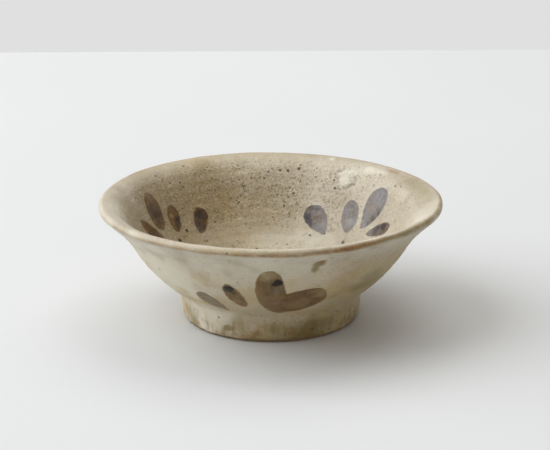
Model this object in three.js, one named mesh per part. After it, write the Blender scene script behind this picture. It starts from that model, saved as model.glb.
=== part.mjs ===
import * as THREE from 'three';

// A wheel-thrown stoneware bowl on a tall foot ring, glazed inside and out, with fans of brushed
// iron-pigment petals. Millimetres, +Z up, origin at the centre of the circle that it stands on.

// Driving dimensions of the bowl
const rimRadius = 75;
const bowlHeight = 53.4;
const wallThickness = 4.2;
const floorThickness = 5.5;
const lipRadius = 1.7;
const lipSlope = degrees(39.7);
const lipInnerSlope = degrees(12);

// The wall rises from the foot as a belly, and turns outward at the flare
const bellySlope = degrees(34.5);
const flareInset = 14.2;
const flareDrop = 18.4;
const flareSlope = degrees(60.2);

// The foot ring
const footHeight = 12.7;
const footTopRadius = 40.4;
const footLowRadius = 39.1;
const footWall = 8;
const footInnerTaper = 1.6;
const footArris = 0.9;
const wellDepth = 7;

// The coats of glaze, and the bare clay that is wiped clean above the resting edge
const glazeThickness = 0.6;
const bareEdge = 1.4;

// The brushed pigment: its film, and the clearance that keeps it off the glaze's facets
const pigmentThickness = 0.3;
const pigmentClearance = 0.25;
const petalTaper = 0.8;
const petalRoundness = 0.5;

// Facets round the bowl and along its curves
const turnSegments = 60;
const curveSteps = 4;
const lipUnderSteps = 2;
const lipOverSteps = 3;
const lipInnerSteps = 1;
const petalRowSpacing = 2.5;
const petalFewestRows = 4;
const petalColumns = 4;

function degrees(angle) {
  return (angle * Math.PI) / 180;
}

function alongSlope(slope, distance) {
  return new THREE.Vector2(Math.cos(slope), Math.sin(slope)).multiplyScalar(distance);
}

// Where the line through a at slopeA meets the line through b at slopeB
function meetingPoint(a, slopeA, b, slopeB) {
  const directionA = alongSlope(slopeA, 1);
  const directionB = alongSlope(slopeB, 1);
  const between = b.clone().sub(a);
  const distance = between.cross(directionB) / directionA.cross(directionB);
  return a.clone().addScaledVector(directionA, distance);
}

// A curve from a to b that leaves at slopeA and arrives at slopeB, with a third of the distance
// between them on each handle
function bend(a, slopeA, b, slopeB) {
  const handle = a.distanceTo(b) / 3;
  const afterA = a.clone().add(alongSlope(slopeA, handle));
  const beforeB = b.clone().sub(alongSlope(slopeB, handle));
  return new THREE.CubicBezierCurve(a, afterA, beforeB, b);
}

// The same outline moved to its left by a distance, with mitred corners
function offsetOutline(points, distance) {
  const normalOf = (from, to) => {
    const run = to.clone().sub(from).normalize();
    return new THREE.Vector2(-run.y, run.x);
  };
  return points.map((point, i) => {
    const before = i > 0 ? normalOf(points[i - 1], point) : normalOf(point, points[i + 1]);
    const after = i < points.length - 1 ? normalOf(point, points[i + 1]) : before;
    const mitre = before.clone().add(after);
    return point.clone().addScaledVector(mitre, distance / mitre.dot(before));
  });
}

// The glazed face in section, from the glaze's lower edge on the foot, up the outside, over the
// lip and down the inside to the centre of the floor
function glazedOutline() {
  const root = new THREE.Vector2(footTopRadius, footHeight);
  const flare = new THREE.Vector2(rimRadius - flareInset, bowlHeight - flareDrop);
  const lipCentre = new THREE.Vector2(rimRadius - lipRadius, bowlHeight - lipRadius);
  const lipStart = lipCentre.clone().add(alongSlope(lipSlope - Math.PI / 2, lipRadius));
  const belly = bend(root, bellySlope, flare, flareSlope);
  const upperWall = bend(flare, flareSlope, lipStart, lipSlope);

  const footSlant = (footTopRadius - footLowRadius) / (footHeight - bareEdge);
  const footFace = [bareEdge, wellDepth].map(
    (z) => new THREE.Vector2(footLowRadius + footSlant * (z - bareEdge), z),
  );
  const outsideWall = [...belly.getPoints(curveSteps), ...upperWall.getPoints(curveSteps).slice(1)];

  const lip = [];
  const lipTurn = (from, to, steps) => {
    for (let i = 1; i <= steps; i++) {
      const angle = from + ((to - from) * i) / steps;
      lip.push(lipCentre.clone().add(alongSlope(angle, lipRadius)));
    }
  };
  lipTurn(lipSlope - Math.PI / 2, 0, lipUnderSteps);
  lipTurn(0, Math.PI / 2, lipOverSteps);
  lipTurn(Math.PI / 2, lipInnerSlope + Math.PI / 2, lipInnerSteps);

  // The wall is even in thickness up to the flare. Above it the inside rolls over to the lip.
  const insideOf = (curve, t) => {
    const tangent = curve.getTangent(t);
    const inward = new THREE.Vector2(-tangent.y, tangent.x);
    return curve.getPoint(t).addScaledVector(inward, wallThickness);
  };
  const roll = bend(insideOf(belly, 1), flareSlope, lip[lip.length - 1], lipInnerSlope);
  const insideWall = [];
  for (let i = curveSteps - 1; i >= 0; i--) {
    insideWall.push(roll.getPoint(i / curveSteps));
  }
  for (let i = curveSteps - 1; i >= 0; i--) {
    insideWall.push(insideOf(belly, i / curveSteps));
  }

  const floorEdge = insideWall[insideWall.length - 1];
  const floorCentre = new THREE.Vector2(0, wellDepth + floorThickness);
  const floorTurn = meetingPoint(floorEdge, bellySlope, floorCentre, 0);
  const floor = new THREE.QuadraticBezierCurve(floorEdge, floorTurn, floorCentre);
  return {
    points: [...footFace, ...outsideWall, ...lip, ...insideWall, ...floor.getPoints(curveSteps).slice(1)],
    wallRoot: footFace.length,
    crest: footFace.length + outsideWall.length + lipUnderSteps + lipOverSteps - 1,
  };
}

// The clay face lies one coat of glaze inside the glazed face
function clayOutline(glazed) {
  const points = offsetOutline(glazed.points, glazeThickness);
  points[0].y = bareEdge;
  points[1].y = wellDepth;
  points[points.length - 1].x = 0;
  return points;
}

// A body of revolution about Z from a section that runs anticlockwise, radius against height
function turned(points) {
  return new THREE.LatheGeometry(points, turnSegments).rotateX(Math.PI / 2);
}

function closedLoop(points) {
  return [...points, points[0]];
}

// A face of the bowl unrolled: a point goes to its distance along the outline from a start,
// its distance round the bowl from an azimuth, and its height off the face
function unrolledFace(outline, azimuth) {
  const lengths = [0];
  for (let i = 1; i < outline.length; i++) {
    lengths.push(lengths[i - 1] + outline[i].distanceTo(outline[i - 1]));
  }
  return (across, along, height) => {
    let i = 1;
    while (i < outline.length - 1 && lengths[i] < along) i++;
    const share = (along - lengths[i - 1]) / (lengths[i] - lengths[i - 1]);
    const place = outline[i - 1].clone().lerp(outline[i], share);
    const run = outline[i].clone().sub(outline[i - 1]).normalize();
    const angle = azimuth + across / place.x;
    place.add(new THREE.Vector2(run.y, -run.x).multiplyScalar(height));
    return new THREE.Vector3(place.x * Math.cos(angle), place.x * Math.sin(angle), place.y);
  };
}

// A petal's width at a share t of its length, as a share of its full width: it tapers to a point
// at its tip and is round at its head
function petalShape(t) {
  const fullest = petalTaper / (petalTaper + petalRoundness);
  const spread = (share) => Math.pow(share, petalTaper) * Math.pow(1 - share, petalRoundness);
  return spread(t) / spread(fullest);
}

// A brushed petal: a thin film, with its rows closest together near its two ends
function petalFilm(face, petal) {
  const lean = degrees(petal.lean);
  const spine = new THREE.Vector2(Math.sin(lean), Math.cos(lean));
  const side = new THREE.Vector2(spine.y, -spine.x);
  const rows = Math.max(petalFewestRows, Math.ceil(petal.length / petalRowSpacing));
  const corners = [];
  const layer = (height) => {
    for (let row = 0; row <= rows; row++) {
      const t = (1 - Math.cos((Math.PI * row) / rows)) / 2;
      const halfWidth = (petal.width / 2) * petalShape(t);
      for (let column = 0; column <= petalColumns; column++) {
        const sideways = halfWidth * ((2 * column) / petalColumns - 1);
        const flat = spine.clone().multiplyScalar(petal.length * t).addScaledVector(side, sideways);
        const across = petal.across + flat.x;
        const along = petal.along + petal.upward * flat.y;
        corners.push(face(across, along, height));
      }
    }
  };
  layer(pigmentClearance);
  layer(pigmentClearance + pigmentThickness);

  const stride = petalColumns + 1;
  const layerSize = stride * (rows + 1);
  const triangles = [];
  const addTriangle = (a, b, c) => {
    const [p, q, r] = [a, b, c].map((index) => corners[index]);
    const isFlat = p.distanceTo(q) < 1e-3 || q.distanceTo(r) < 1e-3 || r.distanceTo(p) < 1e-3;
    if (isFlat) return;
    triangles.push(p, q, r);
  };
  const addQuad = (a, b, c, d) => {
    addTriangle(a, b, c);
    addTriangle(a, c, d);
  };
  for (let row = 0; row < rows; row++) {
    for (let column = 0; column < petalColumns; column++) {
      const a = row * stride + column;
      addQuad(a, a + stride, a + stride + 1, a + 1);
      addQuad(a + layerSize, a + layerSize + 1, a + layerSize + stride + 1, a + layerSize + stride);
    }
    const left = row * stride;
    const right = left + petalColumns;
    addQuad(left, left + layerSize, left + layerSize + stride, left + stride);
    addQuad(right, right + stride, right + layerSize + stride, right + layerSize);
  }
  const geometry = new THREE.BufferGeometry().setFromPoints(triangles);
  return petal.upward > 0 ? geometry : turnedOver(geometry);
}

// The same triangles with their faces turned round
function turnedOver(geometry) {
  const position = geometry.getAttribute('position');
  for (let i = 0; i < position.count; i += 3) {
    const second = new THREE.Vector3().fromBufferAttribute(position, i + 1);
    const third = new THREE.Vector3().fromBufferAttribute(position, i + 2);
    position.setXYZ(i + 1, third.x, third.y, third.z);
    position.setXYZ(i + 2, second.x, second.y, second.z);
  }
  return geometry;
}

// The fans of petals. A petal is given by its tip, which is its distance across from the fan's
// middle and its distance along the face (inside, down from the crest; outside, up from the
// foot), and by its lean from upright in degrees, its length and its width.
const insideRightPetals = [
  { across: 10.2, along: 41.2, lean: 49, length: 19.6, width: 10 },
  { across: -0.7, along: 37.8, lean: 17, length: 16.8, width: 9.6 },
  { across: -7, along: 33.9, lean: -16, length: 22.8, width: 13 },
  { across: -11.8, along: 35.2, lean: -62, length: 18.6, width: 6.6 },
  { across: -1.6, along: 44, lean: 0, length: 2.6, width: 2.6 },
];
const insideLeftPetals = [
  { across: 9.8, along: 36.8, lean: 42, length: 22.5, width: 6.8 },
  { across: 8, along: 30.9, lean: -4, length: 19.6, width: 11.5 },
  { across: -0.8, along: 34.6, lean: -18, length: 14, width: 8.6 },
  { across: -12.4, along: 38.6, lean: -35, length: 14.6, width: 7.6 },
  { across: -6.2, along: 36.5, lean: 0, length: 2.4, width: 2.6 },
  { across: 1.6, along: 39.6, lean: 0, length: 2.8, width: 2.8 },
];
const insideFrontPetals = [
  { across: 11, along: 38, lean: 44, length: 20, width: 8.5 },
  { across: 3, along: 34, lean: 12, length: 20, width: 10.5 },
  { across: -5, along: 33.5, lean: -16, length: 18, width: 10 },
  { across: -12, along: 37, lean: -50, length: 17, width: 8 },
];
const outsideFrontPetals = [
  { across: -16.2, along: 3.6, lean: -44, length: 21.4, width: 7.6 },
  { across: -9, along: 11.3, lean: -27, length: 18.8, width: 7.4 },
  { across: 5.4, along: 4.4, lean: -7, length: 34.4, width: 13 },
  { across: 11.2, along: 14, lean: 60, length: 16.6, width: 12.6 },
];
const outsideBackPetals = [
  { across: -14, along: 5, lean: -46, length: 20, width: 7.5 },
  { across: -7, along: 9, lean: -22, length: 21, width: 8 },
  { across: 2, along: 6, lean: 6, length: 27, width: 11 },
  { across: 10.5, along: 8, lean: 42, length: 20, width: 9.5 },
];
const insideFans = [
  { name: 'inside_right', azimuth: 45, petals: insideRightPetals },
  { name: 'inside_left', azimuth: 147, petals: insideLeftPetals },
  { name: 'inside_front', azimuth: 268, petals: insideFrontPetals },
];
const outsideFans = [
  { name: 'outside_front', azimuth: 268, petals: outsideFrontPetals },
  { name: 'outside_right', azimuth: 28, petals: outsideBackPetals },
  { name: 'outside_left', azimuth: 148, petals: outsideBackPetals },
];

const bowl = new THREE.Group();

function addPiece(name, geometry, material) {
  const mesh = new THREE.Mesh(geometry, new THREE.MeshStandardMaterial(material));
  mesh.name = name;
  bowl.add(mesh);
}

const stoneware = { color: '#8f7a62', roughness: 0.9, metalness: 0 };
const mattGlaze = { color: '#c2b79e', roughness: 0.6, metalness: 0 };
const ironPigment = { color: '#574a42', roughness: 0.45, metalness: 0 };

const glazed = glazedOutline();
const clay = clayOutline(glazed);
const [footGlazeEdge, footJoint] = clay;

// Thrown bowl: the flat underside of its floor meets the foot ring at the depth of the well
addPiece(
  'bowl_body',
  turned([new THREE.Vector2(0, wellDepth), ...clay.slice(1)]),
  stoneware,
);

// Foot ring: it stands on the flat between its two arrises
function footSection() {
  const restOuter = footGlazeEdge.x - footArris;
  const restInner = footGlazeEdge.x - footWall + footArris;
  return closedLoop([
    new THREE.Vector2(restInner, 0),
    new THREE.Vector2(restOuter, 0),
    new THREE.Vector2(footGlazeEdge.x, footArris),
    footGlazeEdge,
    footJoint,
    new THREE.Vector2(restInner - footArris - footInnerTaper, wellDepth),
    new THREE.Vector2(restInner - footArris, footArris),
  ]);
}
addPiece('foot_ring', turned(footSection()), stoneware);

// Glaze coats: they meet on the crest of the lip, and share the clay's face
const outsideGlaze = [
  ...glazed.points.slice(0, glazed.crest + 1),
  ...clay.slice(0, glazed.crest + 1).reverse(),
];
addPiece('outer_glaze', turned(closedLoop(outsideGlaze)), mattGlaze);

const insideGlaze = [
  ...clay.slice(glazed.crest).reverse(),
  ...glazed.points.slice(glazed.crest),
];
addPiece('inner_glaze', turned(insideGlaze), mattGlaze);

// Petals: inside they point up towards the lip, so their length runs back along the outline
const insideFace = glazed.points.slice(glazed.crest);
const outsideFace = glazed.points.slice(glazed.wallRoot, glazed.crest + 1);

function addFan(fan, outline, upward) {
  const face = unrolledFace(outline, degrees(fan.azimuth));
  fan.petals.forEach((petal, i) => {
    addPiece(`petal_${fan.name}_${i + 1}`, petalFilm(face, { ...petal, upward }), ironPigment);
  });
}
insideFans.forEach((fan) => addFan(fan, insideFace, -1));
outsideFans.forEach((fan) => addFan(fan, outsideFace, 1));

export default bowl;
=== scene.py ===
import math

import bmesh
import bpy
import numpy as np
from mathutils import Matrix, Vector


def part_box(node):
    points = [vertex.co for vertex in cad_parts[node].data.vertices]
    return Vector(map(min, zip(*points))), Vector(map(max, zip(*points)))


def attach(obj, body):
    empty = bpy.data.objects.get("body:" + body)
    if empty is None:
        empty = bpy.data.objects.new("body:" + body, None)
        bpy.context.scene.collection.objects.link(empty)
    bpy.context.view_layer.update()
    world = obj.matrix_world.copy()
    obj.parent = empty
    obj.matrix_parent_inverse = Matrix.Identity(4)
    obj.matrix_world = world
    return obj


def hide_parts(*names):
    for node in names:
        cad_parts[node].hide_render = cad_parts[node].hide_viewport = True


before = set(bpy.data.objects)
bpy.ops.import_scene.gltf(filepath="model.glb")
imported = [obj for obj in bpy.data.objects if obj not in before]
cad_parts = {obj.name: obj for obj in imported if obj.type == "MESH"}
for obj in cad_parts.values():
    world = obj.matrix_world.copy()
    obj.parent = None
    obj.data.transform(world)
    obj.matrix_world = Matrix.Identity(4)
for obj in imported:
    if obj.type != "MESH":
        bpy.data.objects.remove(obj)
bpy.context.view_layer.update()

# A shallow stoneware bowl on a tall foot ring: thrown clay, a matt beige glaze that pitted and
# crawled in the kiln, and petals brushed on in iron pigment. Shapes are worked out in millimetres,
# on the bowl's section and round it, and are written to the meshes in metres.
MM = 0.001
FULL_TURN = 2 * math.pi

# Sizes read from the frame
coat_low, coat_high = (np.array(corner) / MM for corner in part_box("outer_glaze"))
RIM_RADIUS = coat_high[0]
BOWL_HEIGHT = coat_high[2]
GLAZE_EDGE = coat_low[2]
WELL_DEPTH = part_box("foot_ring")[1][2] / MM
CLAY_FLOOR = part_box("inner_glaze")[0][2] / MM

# Sizes that the frame's boxes don't give
GLAZE = 0.6
WALL = 4.2
LIP_RADIUS = 1.7
LIP_SLOPE = math.radians(39.7)
LIP_INNER_SLOPE = math.radians(12)
BELLY_SLOPE = math.radians(34.5)
FLARE_SLOPE = math.radians(60.2)
FLARE_INSET = 14.2
FLARE_DROP = 18.4
FOOT_HEIGHT = 12.7
FOOT_TOP_RADIUS = 40.4
FOOT_LOW_RADIUS = 39.1
FOOT_WALL = 8.0
FOOT_TAPER = 1.6
FOOT_ARRIS = 0.9

# How fine the meshes are: points in a full ring, the least distance between them near the middle
# of the floor, where rings have fewer, and the distance between points of a brush stroke and of
# the bowl's section
RING_POINTS = 480
CLOSEST_POINTS = 0.3
STROKE_STEP = 0.35
OUTLINE_STEP = 0.05


# Noise from a lattice of seeded random numbers

LATTICE = 64
lattice = np.random.default_rng(11).uniform(-1, 1, (LATTICE,) * 3)


def noise(points, cell):
    """Smooth noise from -1 to 1, with bumps as wide as the cell."""
    at = np.asarray(points) / cell + 1000.5
    whole = np.floor(at).astype(int)
    part = at - whole
    part = part * part * (3 - 2 * part)
    total = 0.0
    for corner in np.ndindex(2, 2, 2):
        x, y, z = ((whole + corner) % LATTICE).T
        total = total + np.prod(np.where(corner, part, 1 - part), axis=1) * lattice[x, y, z]
    return total


def layered_noise(points, cell, layers=3):
    """Noise with finer and weaker layers on top."""
    return sum(noise(points + 17.0 * i, cell / 2**i) / 2**i for i in range(layers))


def ramp(value, low, high):
    """0 at low, 1 at high, and smooth between them."""
    share = np.clip((value - low) / (high - low), 0, 1)
    return share * share * (3 - 2 * share)


def hump(value, middle, width):
    """1 at the middle, and falling off smoothly on both sides."""
    return np.exp(-(((value - middle) / width) ** 2))


def columns(*parts):
    return np.stack(parts, axis=1)


def ring_place(turn, radius, height):
    return columns(radius * np.cos(turn), radius * np.sin(turn), height)


def polar(points):
    """Azimuth and radius of each point."""
    return np.arctan2(points[:, 1], points[:, 0]), np.hypot(points[:, 0], points[:, 1])


def turn_gap(turn, middle):
    return (turn - middle + math.pi) % FULL_TURN - math.pi


# The bowl's outline in section, which a distance from the crest of the lip runs along: negative
# down the outside to the foot, and positive down the inside to the middle of the floor


def along(slope, distance):
    return distance * np.array([math.cos(slope), math.sin(slope)])


def bend(start, start_slope, end, end_slope, count=80):
    """A curve that leaves and arrives at the two slopes, with handles a third of the way long."""
    handle = np.linalg.norm(end - start) / 3
    after = start + along(start_slope, handle)
    before = end - along(end_slope, handle)
    t = np.linspace(0, 1, count)[:, None]
    u = 1 - t
    return u**3 * start + 3 * u * u * t * after + 3 * u * t * t * before + t**3 * end


def left_of(points):
    run = np.gradient(points, axis=0)
    run /= np.linalg.norm(run, axis=1)[:, None]
    return columns(-run[:, 1], run[:, 0])


def evenly_spaced(points, step):
    lengths = np.concatenate([[0], np.cumsum(np.linalg.norm(np.diff(points, axis=0), axis=1))])
    at = np.linspace(0, lengths[-1], round(lengths[-1] / step))
    return columns(*(np.interp(at, lengths, column) for column in points.T)), at


def make_outline():
    lip = np.array([RIM_RADIUS - LIP_RADIUS, BOWL_HEIGHT - LIP_RADIUS])
    root = np.array([FOOT_TOP_RADIUS, FOOT_HEIGHT])
    flare = np.array([RIM_RADIUS - FLARE_INSET, BOWL_HEIGHT - FLARE_DROP])
    lip_start = lip + along(LIP_SLOPE - math.pi / 2, LIP_RADIUS)
    belly = bend(root, BELLY_SLOPE, flare, FLARE_SLOPE)
    upper = bend(flare, FLARE_SLOPE, lip_start, LIP_SLOPE)
    foot = np.array([
        [FOOT_LOW_RADIUS - FOOT_ARRIS, 0.15],
        [FOOT_LOW_RADIUS - 0.2, FOOT_ARRIS],
        [FOOT_LOW_RADIUS, GLAZE_EDGE],
        root,
    ])
    turn = np.linspace(LIP_SLOPE - math.pi / 2, LIP_INNER_SLOPE + math.pi / 2, 120)
    lip_arc = lip + LIP_RADIUS * columns(np.cos(turn), np.sin(turn))
    inside_belly = belly + left_of(belly) * WALL
    roll = bend(inside_belly[-1], FLARE_SLOPE, lip_arc[-1], LIP_INNER_SLOPE)
    edge = inside_belly[0]
    centre = np.array([0.0, CLAY_FLOOR + GLAZE])
    floor_turn = np.array([edge[0] - (edge[1] - centre[1]) / math.tan(BELLY_SLOPE), centre[1]])
    t = np.linspace(0, 1, 80)[:, None]
    floor = (1 - t) ** 2 * edge + 2 * t * (1 - t) * floor_turn + t * t * centre
    outside = [foot, belly[1:], upper[1:], lip_arc[1:]]
    inside = [roll[-2::-1], inside_belly[-2::-1], floor[1:]]
    points, at = evenly_spaced(np.concatenate(outside + inside), OUTLINE_STEP)

    # A fingertip softened the corner where the foot meets the belly, over 6 mm either way
    half = round(6 / OUTLINE_STEP)
    weight = np.exp(-np.linspace(-2.5, 2.5, 2 * half + 1) ** 2)
    weight /= weight.sum()
    padded = (np.pad(column, half, "edge") for column in points.T)
    softened = columns(*(np.convolve(column, weight, "valid") for column in padded))
    share = ramp(np.linalg.norm(points - root, axis=1), 10, 4)[:, None]
    return points * (1 - share) + softened * share, at


outline, outline_at = make_outline()
outline_at = outline_at - outline_at[np.argmax(outline[:, 1])]
outline_normal = -left_of(outline)
OUTSIDE_END = outline_at[0]
INSIDE_END = outline_at[-1]


def distance_at_height(height):
    """The distance at a height on the outside."""
    outside = outline_at < 0
    return np.interp(height, outline[outside, 1], outline_at[outside])


FOOT_GLAZE_END = distance_at_height(GLAZE_EDGE)
FOOT_JOINT = distance_at_height(WELL_DEPTH)


def section(distance):
    """Radius, height and the two parts of the outward normal at a distance from the crest."""
    return [np.interp(distance, outline_at, column) for column in (*outline.T, *outline_normal.T)]


def true_place(distance, turn, lift=0.0):
    """Points of the bowl as if it had been made perfectly true."""
    radius, height, out, up = section(distance)
    return ring_place(turn, radius + lift * out, height + lift * up)


def on_foot(turn):
    """Points on a ring as wide as the foot, for noise that runs round it."""
    return ring_place(turn, FOOT_LOW_RADIUS, 0 * turn)


# The maker's hands: a rim that is never quite round or level, and the ridges of throwing. Each
# wave has its count round the rim, its size in millimetres and its phase
ROUND_WAVES = [(2, 0.30, 0.6), (3, 0.16, 2.1), (5, 0.09, 1.0)]
LEVEL_WAVES = [(2, 0.20, 2.0), (3, 0.12, 0.4), (7, 0.05, 0.0)]
THROWING_PITCH = 4.6
RIDGE_HEIGHT = 0.05
SWELL_HEIGHT = 0.22
DENT_HEIGHT = 0.09


def hand_wobble(points):
    """Points of the true bowl, moved as the clay strayed: most at the rim, not at all at the foot."""
    turn, radius = polar(points)
    strays = ramp(points[:, 2], 0, BOWL_HEIGHT)
    out, rise = (
        sum(size * np.cos(count * turn + phase) for count, size, phase in waves)
        for waves in (ROUND_WAVES, LEVEL_WAVES)
    )
    scale = 1 + strays * out / np.maximum(radius, RIM_RADIUS / 3)
    return points * columns(scale, scale, 1 + 0 * scale) + np.outer(strays * rise, [0, 0, 1])


def forming(place, distance, turn):
    """How far the clay stands off the true outline."""
    ridges = np.sin(FULL_TURN * distance / THROWING_PITCH + turn + 0.8 * noise(place, 18))
    height = RIDGE_HEIGHT * ridges * ramp(abs(distance), 4, 9)
    height = height + SWELL_HEIGHT * noise(place, 21) * ramp(abs(distance), 2, 8)
    return height + DENT_HEIGHT * noise(place, 7.5)


def clay_place(distance, turn, lift=0.0):
    """Points on the clay, one coat of glaze inside the finished face."""
    height = forming(true_place(distance, turn), distance, turn) - GLAZE + lift
    return hand_wobble(true_place(distance, turn, height))


# The kiln: burst bubbles, a crawled patch, and runs down the foot

# The larger pits, each a burst bubble: distance from the crest, azimuth, width, depth, and how
# brown it is inside
LARGE_PITS = [
    (4.8, 126.3, 1.1, 0.3, 0.8), (12.3, 90.9, 1.2, 0.35, 1), (15.4, 98.5, 1.1, 0.3, 0.9),
    (15.6, 92.8, 1.1, 0.3, 0.8), (19.4, 102.7, 0.9, 0.25, 0.8), (25.8, 106.5, 1, 0.3, 0.9),
    (16.8, 114.9, 0.8, 0.25, 0.6), (11.8, 136.8, 1, 0.3, 0.8), (7.6, 156.5, 0.9, 0.2, 0.7),
    (40, 102.3, 0.9, 0.2, 0.9), (43, 130.4, 1.1, 0.3, 0.9), (11.5, 85.9, 1.5, 0.4, 0.9),
    (11.4, 82.5, 1.7, 0.45, 1), (10.2, 77.9, 2, 0.45, 0.8), (14.2, 61.3, 1.3, 0.4, 0.9),
    (18, 59.9, 1.4, 0.45, 1), (22.6, 79.2, 1.5, 0.4, 0.8), (16.8, 65.8, 1, 0.3, 0.7),
    (14.7, 46, 1, 0.25, 0.7), (20, 81, 1.3, 0.3, 0.6), (24.5, 81.5, 1.3, 0.3, 0.6),
    (-58.3, 235.8, 1.1, 0.2, 1), (-63.3, 296.3, 1.3, 0.3, 1), (-58.4, 272, 0.8, 0.2, 0.7),
    (-59, 259.4, 0.8, 0.2, 0.7), (-30.3, 242.1, 0.7, 0.15, 0.6), (-30, 246.2, 0.7, 0.2, 0.6),
    (-2.8, 256.4, 1.2, 0.2, 0.8), (-15.7, 300.9, 0.8, 0.15, 0.7), (-27.5, 312.4, 0.9, 0.2, 0.7),
]

# How many small pits there are besides, and the azimuth of the wall's rough side
SMALL_PITS = 900
ROUGH_SIDE = math.radians(100)


def pitting(distance, turn):
    """How thickly the pits lie: thickest high on the inside wall, and hardly any on one side."""
    rough_side = (0.5 + 0.5 * np.cos(turn - ROUGH_SIDE)) ** 2
    wall = ramp(distance, 3, 9) * (1 - 0.75 * ramp(distance, 30, 44))
    outside = 0.08 + 0.30 * ramp(-distance, 52, 60)
    return np.where(distance > 0, wall * (0.10 + 0.90 * rough_side), outside)


def scattered_pits():
    pick = np.random.default_rng(7)
    found = []
    while len(found) < SMALL_PITS:
        distance = pick.uniform(OUTSIDE_END, INSIDE_END)
        degrees = pick.uniform(0, 360)
        width = 0.5 + 0.8 * pick.random() ** 2.5
        depth = width * pick.uniform(0.14, 0.30)
        stain = pick.choice([0.0, 0.25, 0.55, 0.9], p=[0.26, 0.26, 0.26, 0.22])
        share = section(distance)[0] / RIM_RADIUS * pitting(distance, math.radians(degrees))
        if pick.random() < share:
            found.append((distance, degrees, width, depth, stain))
    return found


pits = [
    (at, math.radians(degrees), width / 2, depth, stain)
    for at, degrees, width, depth, stain in LARGE_PITS + scattered_pits()
]

# The crawled patch: its middle, its size down the wall and across it, and how far it stands out
PATCH_DISTANCE = 11.0
PATCH_TURN = math.radians(56.2)
PATCH_DOWN = 12.0
PATCH_ACROSS = 10.5
PATCH_HEIGHT = 0.28
CRACK_DEPTH = 0.3

# How far the grain and the runs stand out
GRAIN_HEIGHT = 0.11
RUN_HEIGHT = 0.16


def patch_depth(distance, turn):
    """How far inside the crawled patch's ragged edge a point lies, and below 0 outside it."""
    across = turn_gap(turn, PATCH_TURN) * section(distance)[0]
    down = distance - PATCH_DISTANCE
    reach = np.hypot(2 * across / PATCH_ACROSS, 2 * down / PATCH_DOWN)
    flat = columns(across, down, 0 * across)
    ragged = 1.9 * noise(flat, 4.6) + 1.1 * noise(flat + 7, 1.9) + 0.5 * noise(flat, 0.9)
    return np.where(reach < 3, (1 - reach) * PATCH_ACROSS / 2 + ragged, -9.0)


def runs(turn):
    """How thickly the glaze ran down the foot, from 0 to 1 round the bowl."""
    return ramp(noise(on_foot(turn), 3.6) + 0.5 * noise(on_foot(turn), 1.7), -0.4, 0.9)


def relief(distance, turn):
    """How far the finished face stands off the true outline, and how deep in a pit each point is."""
    place = true_place(distance, turn)
    radius = section(distance)[0]
    height = forming(place, distance, turn)
    height += GRAIN_HEIGHT * (0.2 + 0.8 * pitting(distance, turn)) * layered_noise(place, 2.6, 2)
    height += RUN_HEIGHT * runs(turn) * ramp(-distance, 55, 62)

    stained = 0 * height
    for at, middle, size, depth, stain in pits:
        near = np.flatnonzero(abs(distance - at) < 2 * size)
        across = turn_gap(turn[near], middle) * radius[near]
        reach = np.hypot(across, distance[near] - at) / size
        height[near] += depth * (0.22 * hump(reach, 1.25, 0.35) - 1 + ramp(reach, 0.2, 1.05))
        stained[near] = np.maximum(stained[near], stain * (1 - ramp(reach, 0.5, 1.1)))

    inside_patch = patch_depth(distance, turn)
    crack = hump(inside_patch, -0.4, 0.35) * ramp(noise(place + 9, 4), -0.1, 0.35)
    crack = np.maximum(crack, hump(noise(place + 3, 2.6), 0, 0.1) * ramp(inside_patch, -0.2, 0.5) * 0.7)
    height += (PATCH_HEIGHT + 0.2 * noise(place, 1.5)) * ramp(inside_patch, -0.3, 0.9)
    return height - CRACK_DEPTH * crack, np.maximum(stained, 0.7 * crack)


def glazed_place(distance, turn, lift=0.0):
    """Points on the finished face, with a lift off it."""
    height, _ = relief(distance, turn)
    return hand_wobble(true_place(distance, turn, height + lift))


def glazed_normal(distance, turn, reach=0.2):
    """The finished face's own normal, which doesn't stop where one coat of glaze ends."""
    step = reach / np.maximum(section(distance)[0], 1)
    inward = glazed_place(distance + reach, turn) - glazed_place(distance - reach, turn)
    round_bowl = glazed_place(distance, turn + step) - glazed_place(distance, turn - step)
    normal = np.cross(round_bowl, inward)
    return normal / np.linalg.norm(normal, axis=1)[:, None]


# Stains in the glaze, and painted light and shade, as soft spots: distance from the crest, azimuth,
# half size down the wall, half size across it, strength
IRON_SPOTS = [
    (29.5, 104.7, 0.9, 0.8, 0.7), (34, 103.9, 0.8, 0.8, 0.6), (19.6, 127.1, 1, 0.9, 0.6),
    (48.4, 115.3, 1.3, 1.1, 0.8), (2.4, 36.9, 1.2, 5, 0.6), (-62.8, 281.9, 2, 3, 0.4),
    (-63.3, 260.4, 1.8, 2.6, 0.45), (-65.5, 250, 1.4, 7, 0.4), (-65, 291, 1.5, 6, 0.4),
    (-11.4, 287.6, 1.5, 1.4, 0.9), (-18, 238, 9, 11, 0.2), (-33, 250, 11, 14, 0.2),
    (-22, 300, 12, 10, 0.12), (-66.5, 270, 0.9, 16, 0.5),
]
# Ash-olive glaze. The spots at azimuths 300 and 318, on the outside's right side and foot, are painted
# shade
ASH_AND_SHADE_SPOTS = [
    (12.1, 157.6, 1.4, 1.2, 0.7), (-12.6, 286.9, 3, 2.8, 1.9), (-16.2, 286.1, 3.6, 2, 1.3),
    (4, 18, 4, 20, 0.45), (3, 25, 1.6, 2.4, 0.5), (-19.7, 253.6, 3.2, 3, 0.25),
    (-24.2, 243.2, 3, 3, 0.25), (-62.6, 242, 1.8, 2.2, 0.9), (-35, 318, 9, 12, 0.5),
    (-61, 300, 3, 9, 0.7),
]
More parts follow.
